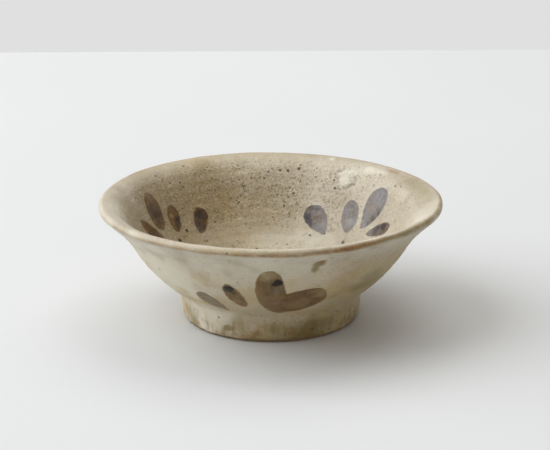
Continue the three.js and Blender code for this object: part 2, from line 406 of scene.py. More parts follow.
# Thick white glaze. The three spots on the outside, below the crest, are painted light that lightens the
# outside's front left
WHITE_AND_LIT_SPOTS = [
    (5.8, 47.6, 2.4, 5, 0.9), (5, 42, 2, 5, 0.7), (2.5, 65.9, 1.4, 1.6, 0.9), (46, 86, 7, 14, 0.4),
    (44, 62, 6, 12, 0.4), (9, 93, 4, 7, 0.4), (3, 190, 9, 40, 0.45), (-22, 222, 24, 34, 0.9),
    (-60, 228, 14, 20, 0.85), (-18, 264, 16, 30, 0.5),
]
# Thin glaze, and painted shade: the strong spots on the inside's left and far wall, and those on the
# outside's right side and foot, darken places facing away from the window
THIN_AND_SHADED_SPOTS = [
    (30, 152, 34, 44, 0.85), (24, 126, 26, 30, 0.85), (32, 95, 18, 26, 0.5), (22, 25, 24, 40, 0.22),
    (48, 40, 24, 30, 0.3), (-36, 318, 26, 28, 0.45), (4, 14, 9, 40, 0.45), (22, 174, 22, 38, 0.72),
    (-62, 310, 9, 26, 0.7), (-63, 275, 6, 34, 0.5),
]


def soft_spots(spots, distance, turn, ragged):
    """The strongest spot at each point, with edges that the noise makes ragged."""
    total = 0 * distance
    for at, degrees, down, across, strength in spots:
        sideways = turn_gap(turn, math.radians(degrees)) * section(distance)[0]
        reach = np.hypot((distance - at) / down, sideways / across) + ragged
        total = np.maximum(total, strength * (1 - ramp(reach, 0.3, 1.25)))
    return total


def frayed(place):
    return 0.25 * noise(place, 2.4) + 0.15 * noise(place, 1.1)


# The line of iron under the lip: azimuth, distance from the crest, width and strength
LIP_LINE = np.array([
    (0, -1, 0.9, 0.45), (25, 0, 0.6, 0.4), (60, 0.1, 0.5, 0.4), (110, 0.1, 0.5, 0.5),
    (145, 0, 0.5, 0.5), (170, -1.5, 0.5, 0.15), (225, -3.2, 0.8, 0.5), (258, -3.3, 0.9, 0.9),
    (279, -3.1, 1.1, 1), (288, -2.8, 1.2, 1.2), (300, -2.3, 1.2, 1.1), (312, -1.6, 1.2, 0.9),
    (325, -1.2, 1.3, 1), (340, -1, 1.1, 0.7),
])

# Azimuths, in radians: the lip's warm front, its olive stretch and the inside's toasted side
LIP_FRONT = math.radians(265)
OLIVE_SIDE = math.radians(322)
TOASTED_SIDE = 2.0


def lip_line(distance, turn, place):
    at, width, strength = (
        np.interp(np.degrees(turn), LIP_LINE[:, 0], column, period=360) for column in LIP_LINE.T[1:]
    )
    strength = strength * np.clip(0.85 + 0.45 * noise(place, 5) + 0.25 * noise(place, 1.8), 0, 1.2)
    return strength * hump(distance, at + 0.25 * noise(place, 7), width * (1 + 0.25 * noise(place, 6)))


def olive_side(turn):
    """Where ash, and not iron, drew the line under the lip."""
    return hump(turn_gap(turn, OLIVE_SIDE), 0, 0.36)


def down_streaks(place):
    """Streaks that the glaze left where it ran down."""
    return ramp(layered_noise(place * [1, 1, 0.16], 1.7, 2), 0.1, 0.9)


def iron_stain(distance, turn, place):
    """Iron that bled through where the glaze is thin: a line under the lip, and the foot's edge."""
    line = lip_line(distance, turn, place) * (1 - 0.8 * olive_side(turn))
    foot = 0.5 * ramp(-distance, 57, 65) * ramp(layered_noise(place + 5, 2.0), 0.1, 1.1)
    foot += 0.3 * ramp(-distance, 54, 62) * down_streaks(place + 60)
    return np.clip(line + foot + soft_spots(IRON_SPOTS, distance, turn, frayed(place)), 0, 1)


def white_glaze_and_painted_light(distance, turn, place, thin):
    """Thick white glaze, and painted light on the outside's front left."""
    clouds = 0.6 * ramp(noise(place + 51, 16), 0.25, 0.8) * (distance > 0) * (1 - thin)
    patch = ramp(patch_depth(distance, turn), -0.6, 0.8)
    return np.clip(clouds + patch + soft_spots(WHITE_AND_LIT_SPOTS, distance, turn, 0.4 * noise(place, 5)), 0, 1)


def ash_glaze_and_shade(distance, turn, place):
    """Where ash turned the glaze olive, and painted shade tints the outside's right side olive."""
    foot = 0.6 * ramp(noise(place + 80, 7), 0.0, 0.7) + 0.45 * down_streaks(place)
    foot *= ramp(-distance, 55, 64)
    wall = 0.35 * ramp(noise(place + 90, 8), 0.3, 0.8) * (distance < -4)
    line = 1.2 * lip_line(distance, turn, place) * olive_side(turn)
    return np.clip(foot + wall + line + soft_spots(ASH_AND_SHADE_SPOTS, distance, turn, frayed(place)), 0, 1)


def glaze_values(distance, turn):
    """What the glaze's material reads at each point."""
    place = true_place(distance, turn)
    from_front = turn_gap(turn, LIP_FRONT)
    crest = 0.32 * hump(distance, 1, 3) * (1 - hump(from_front, 0, 0.9))
    thin = np.maximum(soft_spots(THIN_AND_SHADED_SPOTS, distance, turn, 0.25 * noise(place, 9)), crest)
    lip = 0.9 * hump(distance, -2.4, 1.6) * hump(from_front, 0, 0.8)
    toasted = 0.6 * hump(turn_gap(turn, TOASTED_SIDE), 0, 0.7)
    # The thin and ash values also carry painted shade, and the white value carries painted light, from
    # their lists of spots
    return {
        "pit": relief(distance, turn)[1],
        "iron": iron_stain(distance, turn, place),
        "white": white_glaze_and_painted_light(distance, turn, place, thin),
        "ash": ash_glaze_and_shade(distance, turn, place),
        "thin": thin,
        "warm": np.where(distance < 0, lip + ramp(-distance, 4, 30), toasted),
        "grit": 0.2 + 0.8 * np.maximum(pitting(distance, turn), 0.4 * ramp(distance, 42, 52)),
    }


# Materials


def linear(colour):
    """An sRGB hex colour as linear red, green, blue and alpha."""
    parts = [int(colour[i : i + 2], 16) / 255 for i in (1, 3, 5)]
    return (*[p / 12.92 if p <= 0.04045 else ((p + 0.055) / 1.055) ** 2.4 for p in parts], 1)


def per_mm(size):
    """The scale of a texture whose features are this many millimetres wide."""
    return 1 / (size * MM)


def add_node(tree, kind, inputs, **settings):
    """Adds a node with its settings, sets or links its inputs by name or number, and returns its
    first output in use."""
    made = tree.nodes.new("ShaderNode" + kind)
    for name, value in settings.items():
        setattr(made, name, value)
    for name, value in inputs.items():
        by_name = [socket for socket in made.inputs if socket.enabled and socket.name == name]
        socket = by_name[0] if by_name else made.inputs[name]
        if isinstance(value, bpy.types.NodeSocket):
            tree.links.new(value, socket)
        else:
            socket.default_value = value
    return next((output for output in made.outputs if output.enabled), None)


EASED = {"interpolation_type": "SMOOTHSTEP"}


def span(low, high, least=0.0, most=1.0):
    """What makes low the least and high the most."""
    return {"From Min": low, "From Max": high, "To Min": least, "To Max": most}


def new_material(name):
    """A material, its node tree, and where each point is on the bowl."""
    material = bpy.data.materials.new(name)
    material.use_nodes = True
    material.node_tree.nodes.clear()
    place = add_node(material.node_tree, "TexCoord", {}).node.outputs["Object"]
    return material, material.node_tree, place


def patches(tree, place, size, low, high, least=0.0, most=1.0, detail=3.0, roughness=0.5):
    """Soft patches, so many millimetres wide: the least where their noise is below low, the most
    above high, and smooth between them."""
    scale = {"Scale": per_mm(size), "Detail": detail, "Roughness": roughness}
    clouds = add_node(tree, "TexNoise", {"Vector": place, **scale})
    return add_node(tree, "MapRange", {"Value": clouds, **span(low, high, least, most)}, **EASED)


def specks(tree, place, spacing, radius, empty):
    """Round specks: their spacing and radius in millimetres, and what share of places is empty."""
    cells = add_node(tree, "TexVoronoi", {"Vector": place, "Scale": per_mm(spacing)})
    pick = add_node(tree, "SeparateColor", {"Color": cells.node.outputs["Color"]})
    reach = radius / spacing
    dots = {"Value": cells, **span(0.6 * reach, 1.3 * reach, 1.0, 0.0)}
    kept = {"Value": pick, **span(empty, empty + 0.06)}
    factors = [add_node(tree, "MapRange", inputs, **EASED) for inputs in (dots, kept)]
    return add_node(tree, "Math", dict(enumerate(factors)), operation="MULTIPLY")


def grainy_height(tree, place, coarse, fine, roughness):
    """The height of coarse grain, so many millimetres wide, with fine grain on top."""
    looks = {"Scale": per_mm(coarse), "Detail": 3, "Roughness": roughness}, {"Scale": per_mm(fine)}
    layers = [add_node(tree, "TexNoise", {"Vector": place, "Detail": 2, **look}) for look in looks]
    return add_node(tree, "Math", dict(enumerate(layers)), operation="ADD")


def laid_over(tree, colour, *layers):
    """The colour with tints laid over it in turn, each as (where, how much, tint)."""
    for where, strength, tint in layers:
        share = add_node(tree, "Math", {0: where, 1: strength}, operation="MULTIPLY")
        tint = linear(tint) if isinstance(tint, str) else tint
        colour = add_node(tree, "Mix", {"Factor": share, "A": colour, "B": tint}, data_type="RGBA")
    return colour


def read_from_mesh(tree, *names):
    """The numbers kept at the mesh's points under these names."""
    return [add_node(tree, "Attribute", {}, attribute_name=name).node.outputs["Fac"] for name in names]


def finish(material, colour, roughness, height, depth, ior):
    """Joins colour, roughness and height to the shader. The depth is in millimetres."""
    tree = material.node_tree
    bump = {"Height": height, "Distance": depth * MM, "Strength": 1.0}
    normal = add_node(tree, "Bump", bump)
    inputs = {"Base Color": colour, "Roughness": roughness, "Normal": normal, "IOR": ior}
    surface = add_node(tree, "BsdfPrincipled", inputs)
    add_node(tree, "OutputMaterial", {"Surface": surface})
    return material


def glaze_look(tree, place):
    """Colour and height of the matt glaze, which also show round and through the pigment."""
    names = ("thin", "warm", "grit", "white", "ash", "iron", "pit")
    thin, warm, grit, white, ash, iron, pit = read_from_mesh(tree, *names)

    # Cream where the coat is thick, grey-buff where it is thinner and where painted shade darkens it,
    # and streaked where it ran
    down = add_node(tree, "Mapping", {"Vector": place, "Scale": (1, 1, 0.18)})
    toasted = patches(tree, place, 8, 0.4, 0.7, 0.38, 0.75)
    colour = laid_over(
        tree, linear("#bcb2a0"),
        (patches(tree, place, 22, 0.35, 0.65, detail=2), 1.0, "#cac2b0"),
        (patches(tree, place, 7, 0.5, 0.72), 0.5, "#aca28f"),
        (patches(tree, down, 2.6, 0.52, 0.75), 0.3, "#a0937a"),
        (thin, 0.85, "#7c6a46"),
        (toasted, warm, "#bba36c"),
    )

    # Sandy grain: fused grit stands pale, and the hollows between are darker
    grain = {"size": 1.2, "roughness": 0.65}
    colour = laid_over(
        tree, colour,
        (patches(tree, place, low=0.34, high=0.46, least=0.8, most=0.0, **grain), grit, "#76613c"),
        (patches(tree, place, low=0.57, high=0.66, most=0.5, **grain), grit, "#dfd8c6"),
    )

    # Specks of iron in the clay, half a millimetre to one millimetre wide
    speckled = add_node(tree, "MapRange", {"Value": grit, **span(0.1, 0.8, 0.3, 0.8)}, **EASED)
    gritty = add_node(tree, "Math", {0: grit, 1: 0.8}, operation="MULTIPLY")
    for looks in (2.9, 0.32, 0.70), (1.6, 0.20, 0.80), (6.5, 0.45, 0.62):
        colour = laid_over(tree, colour, (specks(tree, place, *looks), speckled, "#523d20"))
    colour = laid_over(tree, colour, (specks(tree, place, 2.0, 0.30, 0.45), gritty, "#5a4325"))

    # Thick white glaze with painted light, ash with painted shade, bled iron and pits
    mottle = patches(tree, place, 1.6, 0.4, 0.62)
    rust = laid_over(tree, linear("#7b521b"), (mottle, 1.0, "#956a2d"))
    colour = laid_over(
        tree, colour,
        (white, 0.8, "#dad4c3"), (ash, 0.82, "#776a36"), (iron, 0.9, rust), (pit, 0.8, "#503c22"),
    )

    # The tooth of the dry surface, which is strongest where grit lies
    tooth = grainy_height(tree, place, 1.8, 0.7, 0.7)
    rough = add_node(tree, "MapRange", {"Value": grit, **span(0.0, 1.0, 0.3)}, **EASED)
    return colour, add_node(tree, "Math", {0: tooth, 1: rough}, operation="MULTIPLY")


def make_matt_glaze():
    """Matt feldspar glaze, dipped: opaque cream with a sandy grain and a low, broad sheen."""
    material, tree, place = new_material("matt_glaze")
    colour, height = glaze_look(tree, place)
    roughness = patches(tree, place, 3, 0.3, 0.7, 0.5, 0.66)
    return finish(material, colour, roughness, height, 0.24, 1.5)


def make_iron_pigment():
    """Iron oxide, brushed on the glaze and fired into it: violet-grey to brown, smoother than the
    glaze, so that it catches the window, and glassiest where it fired violet."""
    material, tree, place = new_material("iron_pigment")
    laid, violet, rust, dark = read_from_mesh(tree, "laid", "violet", "rust", "dark")
    mottle = patches(tree, place, 1.3, 0.35, 0.65)
    brown = laid_over(tree, linear("#553b12"), (mottle, 1.0, "#745221"))
    grey = laid_over(tree, linear("#544f4e"), (mottle, 1.0, "#6b6666"))
    thick = laid_over(tree, brown, (violet, 1.0, grey), (rust, 1.0, "#7c4f36"), (dark, 1.0, "#211007"))

    # Where it was laid thin, the glaze shows through a warm wash, which also dulls the gloss
    wash = laid_over(tree, linear("#93805a"), (violet, 1.0, "#8e8780"))
    spans = span(0.0, 0.45), span(0.3, 1.0), span(0.2, 1.0, 0.56, 0.29), span(0.0, 1.0, 1.0, 0.45)
    washed, covered, roughness, flat = (
        add_node(tree, "MapRange", {"Value": laid, **by_thickness}, **EASED) for by_thickness in spans
    )
    glaze_colour, glaze_height = glaze_look(tree, place)
    colour = laid_over(tree, glaze_colour, (washed, 1.0, wash), (covered, 1.0, thick))
    height = add_node(tree, "Math", {0: glaze_height, 1: flat}, operation="MULTIPLY")
    ior = add_node(tree, "MapRange", {"Value": violet, **span(0.0, 1.0, 1.36, 1.5)})
    return finish(material, colour, roughness, height, 0.18, ior)


def make_stoneware():
    """Bare stoneware, turned with a loop tool and fired: brown, toasted and open, with coarse grog."""
    material, tree, place = new_material("stoneware")
    grain = {"size": 0.9, "roughness": 0.65}
    colour = laid_over(
        tree, linear("#7b6747"),
        (patches(tree, place, 14, 0.35, 0.65), 1.0, "#8b704c"),
        (patches(tree, place, low=0.35, high=0.65, **grain), 0.5, "#9d8763"),
        (specks(tree, place, 2.4, 0.35, 0.70), 0.8, "#c4b296"),
        (specks(tree, place, 1.8, 0.20, 0.75), 0.8, "#4e3b2a"),
    )
    roughness = patches(tree, place, low=0.3, high=0.7, least=0.8, most=0.95, **grain)
    return finish(material, colour, roughness, grainy_height(tree, place, 0.9, 0.4, 0.65), 0.16, 1.5)


matt_glaze = make_matt_glaze()
iron_pigment = make_iron_pigment()
stoneware = make_stoneware()


# Meshes


def band(here, there):
    """Faces between two rings of points, where a ring may have half the points of the other."""
    if len(here) < len(there):
        return [face[::-1] for face in band(there, here)]
    after = np.roll(here, -1)
    if len(there) == 1:
        return [(a, b, there[0]) for a, b in zip(here, after)]
    if len(there) == len(here):
        return list(zip(here, after, np.roll(there, -1), there))
    first, middle, last = here[::2], here[1::2], after[1::2]
    following = np.roll(there, -1)
    triangles = [(first, middle, there), (middle, last, following), (middle, following, there)]
    return [face for corners in triangles for face in zip(*corners)]


def turned_net(counts, closed):
    """Faces of a stack of rings, with each point's ring and azimuth. A closed stack joins its last
    ring to its first; another one starts and ends at a single point."""
    starts = np.concatenate([[0], np.cumsum(counts)])
    stack = [np.arange(start, start + count) for start, count in zip(starts, counts)]
    pairs = list(zip(stack, stack[1:]))
    if closed:
        pairs.append((stack[-1], stack[0]))
    faces = [tuple(map(int, face)) for pair in pairs for face in band(*pair)]
    ring = np.repeat(np.arange(len(counts)), counts)
    turn = np.concatenate([np.arange(count) * FULL_TURN / count for count in counts])
    return faces, ring, turn


def ring_sizes(radii):
    """Points in each ring: a full ring, or half as many for each time that they come too close."""
    sizes = []
    for radius in radii:
        size = RING_POINTS
        while size > 30 and FULL_TURN * radius / size < CLOSEST_POINTS:
            size //= 2
        sizes.append(size if radius > CLOSEST_POINTS else 1)
    return sizes


def steps(*stretches):
    """Distances laid end to end, from (start, end, step) for each stretch."""
    laid = [np.linspace(a, b, round(abs(b - a) / step), endpoint=False) for a, b, step in stretches]
    return np.concatenate([*laid, [stretches[-1][1]]])


def solid_mesh(name, points, faces):
    mesh = bpy.data.meshes.new(name)
    mesh.from_pydata((np.asarray(points) * MM).tolist(), [], faces)
    shape = bmesh.new()
    shape.from_mesh(mesh)
    bmesh.ops.recalc_face_normals(shape, faces=shape.faces)
    shape.to_mesh(mesh)
    shape.free()
    mesh.polygons.foreach_set("use_smooth", [True] * len(mesh.polygons))
    return mesh


def read_all(rows, name, count):
    """What a mesh keeps under a name, in rows of so many numbers."""
    numbers = np.empty(len(rows) * count)
    rows.foreach_get(name, numbers)
    return numbers.reshape(-1, count)


def read_points(mesh):
    return read_all(mesh.vertices, "co", 3) / MM


def move_points(mesh, points):
    mesh.vertices.foreach_set("co", (points * MM).ravel())
    mesh.update()


def add_values(mesh, values):
    """Numbers for each point, which the materials read by name."""
    for name, numbers in values.items():
        layer = mesh.attributes.new(name, "FLOAT", "POINT")
        layer.data.foreach_set("value", np.asarray(numbers, dtype=np.float32))


def read_values(mesh, name):
    return read_all(mesh.attributes[name].data, "value", 1)[:, 0]


def add_object(name, data):
    made = bpy.data.objects.new(name, data)
    bpy.context.scene.collection.objects.link(made)
    return made


def add_piece(mesh, material, node):
    piece = add_object(mesh.name, mesh)
    mesh.materials.append(material)
    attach(piece, "root")
    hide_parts(node)


# The clay: the thrown bowl, whose underside shows in the well, and the foot ring luted on under it


JOINT_RADIUS = section(FOOT_JOINT)[0] - GLAZE
SPIRAL_PITCH = 2.7
SPIRAL_HEIGHT = 0.13
NUB_HEIGHT = 0.5
CORNER_HEIGHT = 0.9


def make_clay_bowl():
    well_radii = steps((0, 30, 0.6), (30, JOINT_RADIUS, 3))[:-1]
    skin = steps((FOOT_JOINT, -4, 4), (-4, 4, 0.6), (4, INSIDE_END, 4))
    radii = np.concatenate([well_radii, section(skin)[0]])
    faces, ring, turn = turned_net(ring_sizes(radii), closed=False)
    in_well = ring < len(well_radii)
    radius = radii[ring]
    flat = ring_place(turn, radius, 0 * turn + WELL_DEPTH)

    # The turning tool left a spiral round a nub, and a fillet in the corner
    spiral = np.sin(FULL_TURN * radius / SPIRAL_PITCH - turn + 0.7 * noise(flat, 12))
    spiral = SPIRAL_HEIGHT * spiral * ramp(radius, 3, 6)
    nub = -NUB_HEIGHT * hump(radius, 0, 4.5)
    corner = -CORNER_HEIGHT * ramp(radius, 26.5, 29.2)
    flat[:, 2] += spiral + nub + corner + 0.10 * layered_noise(flat, 2.2)
    distance = skin[np.maximum(ring - len(well_radii), 0)]
    points = np.where(in_well[:, None], flat, clay_place(distance, turn, -0.05))
    add_piece(solid_mesh("clay_bowl", points, faces), stoneware, "bowl_body")


def make_clay_foot():
    outer = FOOT_LOW_RADIUS - GLAZE
    inner = outer - FOOT_WALL
    rounded = 0.25 * FOOT_ARRIS
    top = WELL_DEPTH - 0.1
    corners = np.array([
        [inner - FOOT_TAPER, top],
        [inner, FOOT_ARRIS],
        [inner + rounded, rounded],
        [inner + FOOT_ARRIS, 0],
        [outer - FOOT_ARRIS, 0],
        [outer - rounded, rounded],
        [outer, FOOT_ARRIS],
        [JOINT_RADIUS, top],
        [inner - FOOT_TAPER, top],
    ])
    loop, _ = evenly_spaced(corners, 0.5)
    loop = loop[:-1]
    faces, ring, turn = turned_net([RING_POINTS] * len(loop), closed=True)
    normal = -left_of(loop)[ring]
    radius, height = loop[ring].T
    place = ring_place(turn, radius, height)
    chips = ramp(noise(place + 40, 2.4), 0.5, 0.85) * hump(height, 0.2, 0.7)
    lift = 0.06 * layered_noise(place, 1.7) + 0.10 * noise(place, 9) - 0.35 * chips
    lift *= height < WELL_DEPTH - 0.2
    radius = radius + lift * normal[:, 0]
    height = np.maximum(height + lift * normal[:, 1], 0)
    foot = solid_mesh("clay_foot", ring_place(turn, radius, height), faces)
    add_piece(foot, stoneware, "foot_ring")


make_clay_bowl()
make_clay_foot()


# The two coats of glaze, which meet on the crest of the lip


def refine_round_pits(mesh, chosen):
    """Halves the faces that the chosen pits lie in, so that each has its shape in the mesh."""
    points = read_points(mesh)
    distance = read_values(mesh, "distance")
    in_front = read_values(mesh, "front") > 0.5
    turn, radius = polar(points)
    near = np.zeros(len(points), dtype=bool)
    for at, middle, size, _, _ in chosen:
        reach = size + 0.7
        close = np.flatnonzero(in_front & (abs(distance - at) < reach))
        across = turn_gap(turn[close], middle) * radius[close]
        near[close] |= np.hypot(across, distance[close] - at) < reach
    shape = bmesh.new()
    shape.from_mesh(mesh)
    edges = [edge for edge in shape.edges if near[edge.verts[0].index] and near[edge.verts[1].index]]
    bmesh.ops.subdivide_edges(shape, edges=edges, cuts=1, use_grid_fill=True)
    shape.to_mesh(mesh)
    shape.free()


def lower_edge(distance, turn):
    """The outside coat's ragged lower edge: where the rows near it slide to, and how the coat
    thins to a bead there."""
    end = FOOT_GLAZE_END - 0.35 - 0.5 * runs(turn) + 0.3 * noise(on_foot(turn), 2.2)
    share = ramp(-distance, -FOOT_GLAZE_END - 9, -FOOT_GLAZE_END)
    slid = distance + share * (end - FOOT_GLAZE_END)
    bead = 1 - np.sqrt(np.clip((slid - end) / 0.9, 0, 1))
    return slid, -(GLAZE - 0.12) * bead


def glaze_coat(name, node, face, back):
    """One coat of glaze: the finished face, closed behind by the face of the clay."""
    distances = np.concatenate([face, back])
    radii = section(distances)[0]
    faces, ring, turn = turned_net(ring_sizes(radii), closed=radii[0] > 1)
    front = ring < len(face)
    distance = distances[ring]
    lift = np.where(front, 0, -GLAZE)
    mesh = solid_mesh(name, true_place(distance, turn, lift), faces)
    add_values(mesh, {"distance": distance, "front": front})
    for least in (0, 0.45):
        refine_round_pits(mesh, [pit for pit in pits if pit[2] > least])

    turn, _ = polar(read_points(mesh))
    front = read_values(mesh, "front") > 0.5
    distance, thinning = lower_edge(read_values(mesh, "distance"), turn)
    finished = glazed_place(distance, turn, thinning)
    move_points(mesh, np.where(front[:, None], finished, clay_place(distance, turn)))
    add_values(mesh, {value: numbers * front for value, numbers in glaze_values(distance, turn).items()})

    # The two coats shade as one face where they meet
    normals = read_all(mesh.vertex_normals, "vector", 3)
    crest = np.flatnonzero(front & (abs(distance) < 1e-3))
    normals[crest] = glazed_normal(distance[crest], turn[crest])
    mesh.normals_split_custom_set_from_vertices(normals)
    add_piece(mesh, matt_glaze, node)


inside_face = steps((INSIDE_END, 60, 0.9), (60, 5, 0.72), (5, 0, 0.3))
glaze_coat("glaze_inside", "inner_glaze", inside_face, steps((0, 4, 0.6), (4, INSIDE_END, 5)))
outside_face = steps((FOOT_GLAZE_END, -54, 0.45), (-54, -7, 0.75), (-7, 0, 0.3))
glaze_coat("glaze_outside", "outer_glaze", outside_face, steps((0, -4, 0.6), (-4, FOOT_GLAZE_END, 5)))


# The brush strokes


class Stroke:
    """How one petal was brushed: how slowly it widens from its tip and narrows to its head, how
    thickly it was laid, its colour, its blots of dark iron, of rust and of thin pigment, its bow to
    one side, how far before its tip the brush came down, and how much wider than its petal it ran.
    A blot is its share of the way up from the tip, its share of the way out to the edge, its radius
    and its strength."""

    def __init__(
        self, tip, head, laid, violet, dark=(), rust=(), thin=(), bow=0.0, before=0.0, wider=1.0
    ):
        self.tip, self.head, self.laid, self.violet = tip, head, laid, violet
        self.blots = {"dark": dark, "rust": rust, "thin": thin}
        self.bow, self.before, self.wider = bow, before, wider


STROKES = {
    "inside_right": [
        Stroke(0.78, 0.45, 0.97, 0.85,
               [(0.8, 0.75, 2.8, 1.5), (0.64, 0.85, 2.8, 1.6), (0.5, 0.9, 2.2, 1.5)],
               thin=[(0.66, -0.3, 1.6, 0.2), (0.3, -0.3, 3, 0.2)], bow=-0.4),
        Stroke(0.62, 0.5, 0.92, 0.8, [(0.9, 0, 3, 0.35)], thin=[(0.35, 0, 2.4, 0.3)]),
        Stroke(0.8, 0.45, 0.95, 0.85,
               [(0.32, -0.75, 2.2, 1), (0.5, -0.8, 2, 0.8), (0.2, -0.7, 1.6, 0.6)],
               [(0.05, 0.5, 2.5, 0.4)], [(0.45, 0.2, 2.5, 0.15)]),
        Stroke(0.75, 0.5, 0.98, 0.6, [(0.42, 0.3, 3.4, 0.85), (0.72, 0.3, 3, 0.95)],
               [(0.9, 0.6, 1.8, 0.4)]),
        Stroke(0.5, 0.5, 1, 0.3, [(0.5, 0, 1.6, 0.9)]),
    ],
    "inside_left": [
        Stroke(0.7, 0.6, 0.97, 0, [(0.5, 0, 4.5, 0.45)]),
        Stroke(0.6, 0.6, 0.98, 0, [(0.45, 0, 5.5, 0.6)], thin=[(0.92, 0.2, 3, 0.2)], bow=0.5),
        Stroke(0.5, 0.5, 0.93, 0, [(0.42, -0.8, 3.2, 0.85), (0.22, -0.5, 2.4, 0.7)],
               thin=[(0.6, 0.3, 1.6, 0.3)]),
        Stroke(0.55, 0.32, 1, 0.1, [(0.7, 0, 4, 0.9), (0.35, 0, 3.6, 0.7)]),
        Stroke(0.5, 0.5, 1, 0.2, [(0.5, 0, 1.7, 1)]),
        Stroke(0.5, 0.5, 1, 0.2, [(0.5, 0, 1.8, 1)]),
    ],
    "outside_front": [
        Stroke(0.85, 0.45, 0.62, 0.2, [(0.85, 0, 2.6, 0.35), (0.4, 0.6, 2.5, 0.2)],
               [(0.1, 0, 2.5, 0.3)]),
        Stroke(0.55, 0.5, 0.78, 0.05, [(0.82, 0.1, 3.2, 1), (0.66, 0.2, 2.4, 0.8)],
               [(0.88, -0.9, 2.2, 0.8), (0.05, 0.4, 3, 0.7)], [(0.3, -0.4, 2.6, 0.2)]),
        Stroke(0.55, 0.42, 0.72, 0, [(0.74, 0.5, 4.2, 1), (0.66, 0.3, 7, 0.5)],
               [(0.25, 0.1, 8, 0.6), (0.6, -0.7, 5, 0.5)], [(0.95, -0.3, 6, 0.3)], bow=-1.2),
        Stroke(0.2, 0.36, 0.83, 0, [(0.45, 0, 5, 0.25)], [(0, 0, 7, 0.5)],
               [(0.12, 0.3, 6, 0.2), (0.95, 0, 6, 0.25)], bow=0.5, before=7, wider=1.3),
    ],
}
LIKE = {"inside_front": "inside_left", "outside_left": "outside_front", "outside_right": "outside_front"}
SOFT_EDGE = 0.7


def leaf(share, stroke):
    """A petal's width at a share of its length, as a share of its full width."""
    share = np.clip(share, 0, 1)
    fullest = stroke.tip / (stroke.tip + stroke.head)
    spread = share**stroke.tip * (1 - share) ** stroke.head
    return spread / (fullest**stroke.tip * (1 - fullest) ** stroke.head)


class Petal:
    """A petal of the frame, unrolled: the azimuth of its middle, and its tip, direction, length and
    width, in distances across and up the wall."""

    def __init__(self, node):
        self.node = node
        self.fan, number = node.removeprefix("petal_").rsplit("_", 1)
        self.stroke = STROKES[LIKE.get(self.fan, self.fan)][int(number) - 1]
        self.side = 1 if "inside" in node else -1
        points = read_points(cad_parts[node].data)
        turn, radius = polar(points)
        near = outline_at * self.side > 0
        gaps = np.hypot(radius[:, None] - outline[near, 0], points[:, 2:] - outline[near, 1])
        distance = outline_at[near][gaps.argmin(axis=1)]
        self.middle = math.atan2(np.sin(turn).mean(), np.cos(turn).mean())
        flat = columns(turn_gap(turn, self.middle) * radius, -self.side * distance)
        centre = flat.mean(axis=0)
        direction = np.linalg.eigh(np.cov((flat - centre).T))[1][:, 1]
        self.direction = direction * np.sign(direction[1])
        self.cross = np.array([self.direction[1], -self.direction[0]])
        upward = (flat - centre) @ self.direction
        self.tip = centre + upward.min() * self.direction
        self.length = np.ptp(upward)
        self.width = np.ptp((flat - centre) @ self.cross) * self.stroke.wider

    def bowed(self, upward):
        return self.stroke.bow * np.sin(math.pi * np.clip(upward / self.length, 0, 1))

    def rolled(self, upward, sideways):
        """Distance and azimuth of points up from the tip and off to the side."""
        flat = self.tip + np.outer(upward, self.direction)
        flat += np.outer(sideways + self.bowed(upward), self.cross)
        distance = -self.side * flat[:, 1]
        return distance, self.middle + flat[:, 0] / section(distance)[0]

    def unrolled(self, distance, turn):
        across = turn_gap(turn, self.middle) * section(distance)[0]
        flat = columns(across, -self.side * distance) - self.tip
        upward = flat @ self.direction
        return upward, flat @ self.cross - self.bowed(upward)

    def half_width(self, upward):
        before = self.stroke.before
        return self.width / 2 * leaf((upward + before) / (self.length + before), self.stroke)

    def laid(self, distance, turn, place):
        """How far inside the brushed edge each point is, and what the brush left there."""
        stroke = self.stroke
        upward, sideways = self.unrolled(distance, turn)
        slope = (self.half_width(upward + 0.1) - self.half_width(upward - 0.1)) / 0.2
        edge = (self.half_width(upward) - abs(sideways)) / np.hypot(1, slope)
        edge = np.minimum(edge, 2 * np.minimum(upward + stroke.before, self.length - upward))
        blots = {}
        for kind, listed in stroke.blots.items():
            blots[kind] = 0 * upward
            for up, out, radius, strength in listed:
                centre = up * self.length
                gap = np.hypot(upward - centre, sideways - out * self.half_width(centre))
                spot = 1 - ramp(gap / radius + 0.25 * noise(place, 2), 0.35, 1.15)
                blots[kind] = np.maximum(blots[kind], strength * spot)

        hairs = columns(sideways / 0.8, upward / 7, 0 * sideways) + self.middle * 30
        ragged = 0.28 * noise(place, 1.5) + 0.25 * noise(place, 3.5)
        laid = stroke.laid * (0.95 + 0.12 * noise(hairs, 1) + 0.12 * noise(place, 3)) - blots["thin"]
        laid = np.maximum(laid, np.maximum(blots["dark"], 0.8 * blots["rust"]))
        pooled = 0.2 * hump(edge, 0.7, 0.5) * ramp(noise(place + 70, 5), -0.2, 0.6)
        return edge, {
            "laid": laid * ramp(edge + ragged, -0.2, 0.65),
            "violet": stroke.violet + 0.35 * noise(place, 4),
            "dark": blots["dark"] + pooled,
            "rust": blots["rust"] + 0.2 * hump(edge, 0.1, 0.5),
        }


def pigment_values(fan, distance, turn):
    """What the pigment's material reads at each point: one brush stroke runs into the next."""
    place = true_place(distance, turn)
    best, values = fan[0].laid(distance, turn, place)
    for petal in fan[1:]:
        edge, other = petal.laid(distance, turn, place)
        share = ramp(edge - best, -1, 1)
        best = np.maximum(best, edge)
        values = {name: values[name] * (1 - share) + other[name] * share for name in values}
    return {name: np.clip(numbers, 0, 1) for name, numbers in values.items()}


